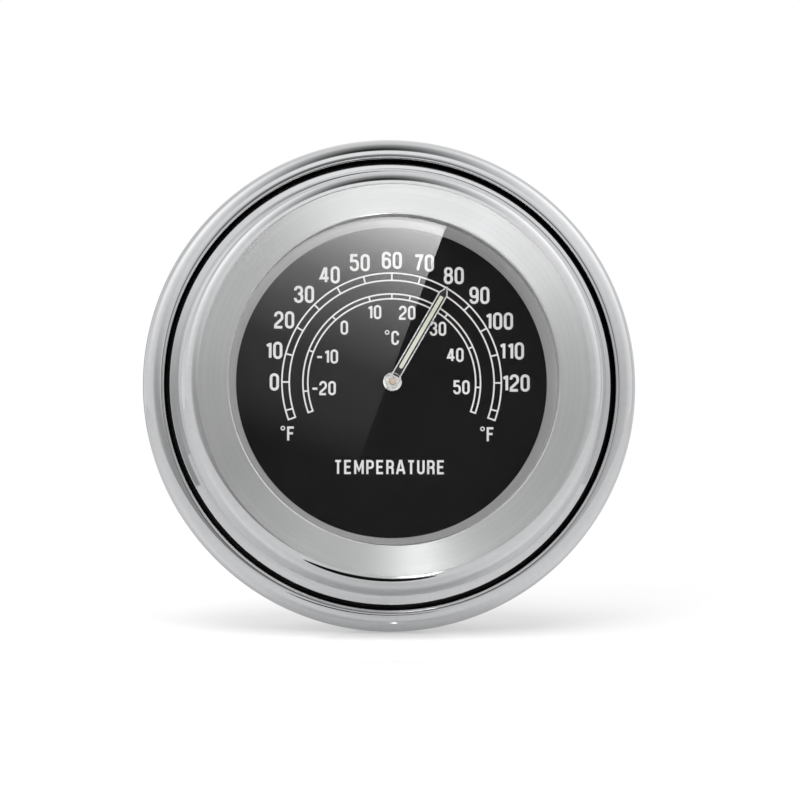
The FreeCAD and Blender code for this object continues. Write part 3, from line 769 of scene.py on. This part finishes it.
POINTER_TURN = 30.0
BLADE = SimpleNamespace(half=0.39, foot=0.56, shoulder=9.62, tip=10.33, rim=0.12, floor=0.02, sunk=0.04)
DISC = SimpleNamespace(hole=0.36, rim=0.88, dish=0.78, rim_drop=0.01, dish_drop=0.05, hole_drop=0.06)
BEAD = SimpleNamespace(half=0.2, low=1.45, high=9.35, base=0.05, drop=0.06, crown=0.05, end_rows=9,
                       rows=23, columns=13)
RIVET = SimpleNamespace(hole=0.35, shank=0.7, shank_height=0.5, neck=0.5, head=0.6, head_height=0.1)
ARBOR = SimpleNamespace(pivot=0.25, pivot_length=0.9, radius=0.345, nose=0.14)


def make_pointer():
    """Stamped blade: a black channel between raised bright rims, on a dished disc."""
    rear, front = stations("pointer")
    outline = turned_by([(BLADE.half, BLADE.foot), (BLADE.half, BLADE.shoulder), (0.0, BLADE.tip),
                         (-BLADE.half, BLADE.shoulder), (-BLADE.half, BLADE.foot)], POINTER_TURN)
    rim = ribbon(outline, BLADE.rim, rear, front, closed=True)
    section = soften([
        (DISC.hole, rear), (DISC.rim, rear, 0.03), (DISC.rim, front - DISC.rim_drop, 0.04),
        (DISC.dish, front - DISC.dish_drop, 0.05), (DISC.hole, front - DISC.hole_drop),
    ], closed=True)
    disc = revolve(section[:, :1], section[:, 1:], SMALL_STEPS, closed=True)
    blade = make_piece("pointer_blade", *gathered([rim, disc]), "needle", [POINTER_METAL],
                       "pointer_metal")
    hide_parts("pointer")
    channel = slab(outline, rear + BLADE.floor, front - BLADE.sunk)
    make_piece("pointer_channel", *channel, "needle", [POINTER_BLACK], "pointer_metal")


def make_lume():
    """Bead of lume with a round lower end: half an oval carried up the channel.

    Across the bead at swing t, x is width cos t, and the crown rises by crown sin t width / half.
    """
    rear, front = stations("pointer_lume")
    round_end = np.linspace(0, math.pi / 2, BEAD.end_rows)
    up = np.concatenate([BEAD.low + BEAD.half - BEAD.half * np.cos(round_end),
                         np.linspace(BEAD.low + BEAD.half, BEAD.high, BEAD.rows + 1)[1:], [BEAD.high]])
    width = np.concatenate([BEAD.half * np.sin(round_end), np.full(BEAD.rows, BEAD.half), [0.0]])[:, None]
    swing = np.linspace(0, math.pi, BEAD.columns)
    across = width * np.cos(swing)
    rise = front - BEAD.drop + BEAD.crown * np.sin(swing) * (width / BEAD.half)
    top = np.stack([across, np.broadcast_to(up[:, None], across.shape)], axis=-1).reshape(-1, 2)
    top = turned_by(top, POINTER_TURN)
    points = np.concatenate([to_part(top[:, 0], top[:, 1], rise.ravel()),
                             to_part(top[:, 0], top[:, 1], rear + BEAD.base)])
    sheet = grid_faces(len(up), BEAD.columns)
    first, below = np.arange(len(up) - 1) * BEAD.columns, len(up) * BEAD.columns
    walls = [np.stack([side, side + BEAD.columns, side + BEAD.columns + below, side + below], axis=-1)
             for side in (first, first + BEAD.columns - 1)]
    faces = np.concatenate([sheet, sheet[:, ::-1] + below, *walls])
    lume = make_piece("lume_bead", points, faces, "needle", [LUME], "lume")
    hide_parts("pointer_lume")


def make_rivet_and_arbor():
    """Rivet head with a rolled edge, and the arbor with its pivot and rounded nose."""
    rear, front = stations("pointer_hub")
    shank_top, head_rear = rear + RIVET.shank_height, front - RIVET.head_height
    rivet = turned("pointer_rivet", [
        (RIVET.hole, rear, 0.01), (RIVET.shank, rear, 0.03), (RIVET.shank, shank_top, 0.02),
        (RIVET.neck, shank_top, 0.01), (RIVET.neck, head_rear, 0.01), (RIVET.head, head_rear, 0.03),
        (RIVET.head, front, 0.05), (RIVET.hole, front, 0.02),
    ], "needle", [POINTER_METAL], "pointer_metal", steps=SMALL_STEPS)
    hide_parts("pointer_hub")
    rear, front = stations("arbor")
    step = rear + ARBOR.pivot_length
    arbor = turned("pointer_arbor", [
        (0, rear, 0), (ARBOR.pivot, rear), (ARBOR.pivot, step, 0.02), (ARBOR.radius, step, 0.03),
        (ARBOR.radius, front, ARBOR.nose), (0, front, 0),
    ], "needle", [ARBOR_BRASS], "steel", closed=False, steps=SMALL_STEPS)
    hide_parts("arbor")


make_pointer()
make_lume()
make_rivet_and_arbor()


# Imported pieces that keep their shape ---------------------

KEPT = {
    BLACK_RUBBER: ["retaining_o_ring"],
    GASKET_RUBBER: ["lens_gasket", "back_gasket"],
    GLASS: ["lens"],
    DIAL_BLACK: ["dial_plate"],
    BRASS: ["front_bush", "rear_bush", "bridge", "coil_collet", "coil_anchor", "dial_pillar_left",
            "dial_pillar_right"],
    STEEL: ["bridge_screw_left", "bridge_screw_right", "case_back"],
    BIMETAL: ["bimetal_coil"],
}
for material, names in KEPT.items():
    for name in names:
        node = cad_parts[name]
        node.data.materials.clear()
        node.data.materials.append(material)


# Studio --------------------------------------------------
# Lengths are in metres and angles in degrees.

DIFFUSE_LEVEL = 0.6
WHITE = (1.0, 1.0, 1.0, 1.0)
RIM_CENTRE = Vector((0, -0.01125, 0))
FLOOR = SimpleNamespace(slope=math.tan(math.radians(6)), side=0.4, front=-0.13, back=0.15,
                        gap=0.00015, lift=0.43, far_lift=0.55, near=0.05, far=0.13, mirrored=0.25,
                        sheen=0.2, gloss=0.06)
FLAG = SimpleNamespace(x=-0.003, y=-0.029, half_width=0.0095, half_depth=0.0055, gap=0.00005, corners=48)
VIEW = SimpleNamespace(azimuth=-3.3, elevation=-4.2, distance=0.32, width=0.0763, right=0.00095,
                       up=-0.001455, sensor=36.0)

# Sides are points of the glass in millimetres, and the fall is the level along that side.
GLARE = SimpleNamespace(
    ahead=0.6, breadth=0.3, level=9.0, side=((5.3, 15.5), (-3.6, -8.5)),
    fall=[(0.0, 0.0), (0.157, 0.022), (0.354, 0.033), (0.5, 0.09), (0.642, 0.185), (0.75, 0.34),
          (0.854, 0.585), (0.965, 1.0)])

# Level of the surround by how far it lies from straight in front of the dial, in degrees, one row
# for each way out from the centre, counted anticlockwise from 3 o'clock.
SURROUND = {
    0: [(0, 0.05), (6.5, 0.06), (9, 0.40), (30, 0.5), (55, 0.54), (75, 0.68), (100, 0.75), (118, 0.5),
        (135, 0.7), (151, 0.7), (157, 0.2)],
    45: [(0, 0.05), (9.5, 0.06), (13, 0.6), (30, 0.78), (50, 0.78), (75, 0.9), (95, 1.2), (106, 1.1),
         (122, 0.6), (151, 0.75), (157, 0.25)],
    90: [(0, 0.05), (9, 0.06), (12, 0.15), (19, 0.3), (22, 0.85), (40, 0.9), (45, 0.03), (57, 0.03),
         (64, 0.12), (79, 0.26), (96, 0.62), (165, 0.9)],
    135: [(0, 0.05), (2, 0.06), (6, 0.6), (30, 0.74), (50, 0.68), (70, 0.8), (85, 1.1), (98, 1.1),
          (118, 0.5), (151, 0.7), (157, 0.15)],
    180: [(0, 0.05), (1.5, 0.06), (4, 0.30), (40, 0.36), (58, 0.66), (151, 0.72), (157, 0.2)],
    225: [(0, 0.05), (1.5, 0.06), (4, 0.24), (30, 0.24), (45, 0.6), (65, 0.64), (110, 0.64), (130, 0.5),
          (165, 1.0)],
    270: [(0, 0.05), (1.5, 0.06), (4, 0.36), (30, 0.64), (110, 0.64), (150, 0.7), (165, 1.0)],
    315: [(0, 0.05), (1.5, 0.06), (5, 0.4), (30, 0.48), (60, 0.6), (105, 0.64), (130, 0.5), (150, 0.6),
          (165, 1.0)],
}


def tone_ramp(tree, place, stops):
    """Colour ramp whose greys are the stops' levels."""
    ramp = add(tree, "ShaderNodeValToRGB", {"Fac": place})
    elements = ramp.color_ramp.elements
    while len(elements) < len(stops):
        elements.new(1.0)
    for element, (position, level) in zip(elements, stops):
        element.position = position
        element.color = (*grey(level), 1.0)
    return ramp.outputs["Color"]


def make_surround():
    """World: white where it is seen behind the object, studio tones where metal and glass mirror it.

    A direction d lies acos(-d.y) from straight in front and atan2(d.z, d.x) round from 3 o'clock.
    """
    world = bpy.data.worlds.new("studio_surround")
    world.use_nodes = True
    bpy.context.scene.world = world
    tree = world.node_tree
    tree.nodes.clear()
    way = add(tree, "ShaderNodeTexCoord").outputs["Generated"]
    parts = add(tree, "ShaderNodeSeparateXYZ", {0: way}).outputs
    off = sum_of(tree, "ARCCOSINE", sum_of(tree, "MULTIPLY", parts["Y"], -1.0))
    off = sum_of(tree, "DIVIDE", off, math.pi)
    round_way = sum_of(tree, "ARCTAN2", parts["Z"], parts["X"])
    round_way = sum_of(tree, "FLOORED_MODULO", round_way, 2 * math.pi)
    rows = [[(angle / 180, level) for angle, level in row] for row in SURROUND.values()]
    ramps = [tone_ramp(tree, off, row) for row in rows]
    tone = ramps[0]
    for bearing, ramp in zip([*SURROUND, 360][1:], ramps[1:] + ramps[:1]):
        share = add(tree, "ShaderNodeMapRange",
                    {"Value": round_way, "From Min": math.radians(bearing - 45),
                     "From Max": math.radians(bearing)}, interpolation_type="SMOOTHSTEP")
        tone = blend(tree, share.outputs[0], tone, ramp)
    rays = add(tree, "ShaderNodeLightPath").outputs
    seen = blend(tree, rays["Is Camera Ray"], tone, WHITE)
    seen = blend(tree, rays["Is Diffuse Ray"], seen, (*grey(DIFFUSE_LEVEL), 1.0))
    shown = add(tree, "ShaderNodeBackground", {"Color": seen, "Strength": 1.0})
    add(tree, "ShaderNodeOutputWorld", {"Surface": shown.outputs[0]})


def stage_sheet(name, finish, outline, level):
    """Thin stage piece on the floor's slope; its underside is see-through and hides nothing."""
    clear = add(finish.tree, "ShaderNodeBsdfTransparent")
    under = add(finish.tree, "ShaderNodeNewGeometry").outputs["Backfacing"]
    shown = finish.output.inputs["Surface"].links[0].from_node
    finish.show(finish.mix(under, shown, clear))
    mesh = bpy.data.meshes.new(name)
    points = [(x, y, level + (y - RIM_CENTRE.y) * FLOOR.slope) for x, y in outline]
    mesh.from_pydata(points, [], [range(len(points))])
    mesh.materials.append(finish.material)
    return in_scene(name, mesh)


def make_floor(level):
    """White sheet with a faint gloss, sloping down to the camera under the rim's lowest point.

    It keeps the shadow and fades into the white behind it with the distance from the part.
    """
    finish = Finish("studio_sheet", grey(0.62), roughness=0.6, specular_ior_level=0.0)
    tree = finish.tree
    marks = finish.grain(0.002, 0.05)
    sheet = finish.tint(marks["Patches"], grey(0.615), grey(0.625))
    rays = add(tree, "ShaderNodeLightPath").outputs
    away = add(tree, "ShaderNodeVectorMath", {0: finish.place}, operation="LENGTH").outputs["Value"]
    lift = add(tree, "ShaderNodeMapRange",
               {"Value": away, "From Min": FLOOR.near, "From Max": FLOOR.far, "To Min": FLOOR.lift,
                "To Max": FLOOR.far_lift})
    seen = sum_of(tree, "MULTIPLY", rays["Is Camera Ray"], lift.outputs[0])
    mirrored = sum_of(tree, "MAXIMUM", rays["Is Glossy Ray"], rays["Is Transmission Ray"])
    finish.set("Base Color", blend(tree, mirrored, sheet, (0.3, 0.3, 0.3, 1.0)))
    mirrored = sum_of(tree, "MULTIPLY", mirrored, FLOOR.mirrored)
    finish.set("Emission Color", WHITE)
    finish.set("Emission Strength", sum_of(tree, "ADD", seen, mirrored))
    sheen = add(tree, "ShaderNodeBsdfGlossy", {"Color": WHITE, "Roughness": FLOOR.gloss})
    finish.show(finish.mix(FLOOR.sheen, finish.shader, sheen))
    left, right, front, back = -FLOOR.side, FLOOR.side, FLOOR.front, FLOOR.back
    outline = [(left, front), (right, front), (right, back), (left, back)]
    floor = stage_sheet("studio_floor", finish, outline, level - FLOOR.gap)
    return floor


def make_flag(level):
    """Black oval lying on the floor in front, which only mirrors show: a dark line in the lower edge."""
    finish = Finish("black_flag", grey(0.01), roughness=0.9, specular_ior_level=0.0)
    turn = np.linspace(0, 2 * math.pi, FLAG.corners, endpoint=False)
    outline = zip(FLAG.x + FLAG.half_width * np.cos(turn), FLAG.y + FLAG.half_depth * np.sin(turn))
    flag = stage_sheet("black_flag", finish, outline, level - FLAG.gap)
    flag.visible_camera = flag.visible_diffuse = flag.visible_shadow = flag.visible_transmission = False


def alone(name, thing):
    """Collection of one object, for a lamp that lights nothing else."""
    made = bpy.data.collections.new(name)
    made.objects.link(thing)
    return made


def make_lamp(name, size, power, turn, place, receivers=None):
    """Soft lamp the camera doesn't see, aimed along -Z of its turn; receivers limit its light."""
    lamp = bpy.data.lights.new(name, "AREA")
    lamp.shape = "RECTANGLE"
    lamp.size, lamp.size_y = size
    lamp.energy = power
    holder = in_scene(name, lamp)
    holder.matrix_world = Matrix.Translation(place) @ turn.to_4x4()
    holder.visible_camera = False
    if receivers is not None:
        holder.light_linking.receiver_collection = receivers
    return holder


def make_panel(name, place, size, power, receivers=None):
    """Square lamp aimed at the rim; it lights, and the surround stands for it in reflections."""
    turn = (RIM_CENTRE - Vector(place)).to_track_quat("-Z", "Y").to_matrix()
    make_lamp(name, (size, size), power, turn, place, receivers).visible_glossy = False


def make_strip(name, bearing, off, length, thick, level, bezel):
    """Long thin lamp for the bezel alone, a metre out, set off the axis and across one way out.

    The brushed lines spread it along the radius; the rolled edge shows it as a thin line.
    """
    bearing, off = math.radians(bearing), math.radians(off)
    out = Vector((math.sin(off) * math.cos(bearing), -math.cos(off), math.sin(off) * math.sin(bearing)))
    across = Vector((-math.sin(bearing), 0, math.cos(bearing)))
    turn = Matrix((across, out.cross(across), out)).transposed()
    power = length * thick * math.pi * level
    strip = make_lamp(name, (length, thick), power, turn, RIM_CENTRE + out, bezel)
    strip.light_linking.blocker_collection = bezel
    strip.data.cycles.max_bounces = 0


def make_camera():
    """Camera a little left of and below the dial's axis, at the length of a long lens."""
    azimuth, elevation = math.radians(VIEW.azimuth), math.radians(VIEW.elevation)
    back = Vector((math.sin(azimuth) * math.cos(elevation), -math.cos(azimuth) * math.cos(elevation),
                   math.sin(elevation)))
    data = bpy.data.cameras.new("view")
    data.sensor_width = VIEW.sensor
    data.lens = VIEW.sensor * VIEW.distance / VIEW.width
    data.clip_start, data.clip_end = 0.01, 10.0
    camera = in_scene("view", data)
    aim = RIM_CENTRE + (-back).to_track_quat("-Z", "Y") @ Vector((VIEW.right, VIEW.up, 0.0))
    camera.location = RIM_CENTRE + back * VIEW.distance
    camera.rotation_euler = (aim - camera.location).to_track_quat("-Z", "Y").to_euler()
    bpy.context.scene.camera = camera
    return camera


def make_glare(camera, glass):
    """Soft window mirrored in the glass only.

    Its straight side lies where rays from the camera, mirrored in the glass at two points, meet an
    upright plane far in front. Its level falls along that side.
    """
    eye = camera.location.copy()
    eye.y = 2 * glass - eye.y
    share = (glass - GLARE.ahead - eye.y) / (glass - eye.y)
    high, low = (eye + (Vector((x * MM, glass, z * MM)) - eye) * share for x, z in GLARE.side)
    up, away = (high - low).normalized(), Vector((0, -1, 0))
    across = up.cross(away)
    size = (GLARE.breadth, (high - low).length)
    power = size[0] * size[1] * math.pi * GLARE.level
    middle = (high + low) / 2 - across * GLARE.breadth / 2
    turn = Matrix((across, up, away)).transposed()
    lens_only = alone("glare_on_glass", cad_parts["lens"])
    lamp = make_lamp("glare_window", size, power, turn, middle, lens_only).data
    lamp.use_nodes = True
    tree = lamp.node_tree
    spot = add(tree, "ShaderNodeNewGeometry").outputs["Parametric"]
    parts = add(tree, "ShaderNodeSeparateXYZ", {0: spot}).outputs
    tree.links.new(tone_ramp(tree, parts["Y"], GLARE.fall), tree.nodes["Emission"].inputs["Color"])


make_surround()
low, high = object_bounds()
floor_only = alone("light_on_floor", make_floor(low.z))
bezel_only = alone("light_on_bezel", bpy.data.objects["bezel_ring"])
make_flag(low.z)
make_panel("top_lamp", (0.0, -0.44, 0.7), size=0.7, power=5.0, receivers=floor_only)
make_panel("key_lamp", (-0.25, -0.62, 0.28), size=0.4, power=1.2)
make_panel("fill_lamp", (0.35, -0.6, 0.12), size=0.4, power=1.4)
make_strip("upper_strip", bearing=68, off=12, length=0.20, thick=0.04, level=8.5, bezel=bezel_only)
make_strip("lower_strip", bearing=290, off=18, length=0.06, thick=0.06, level=21.0, bezel=bezel_only)
make_glare(make_camera(), -stations("lens")[1] * MM)

bpy.context.scene.view_settings.view_transform = "Standard"
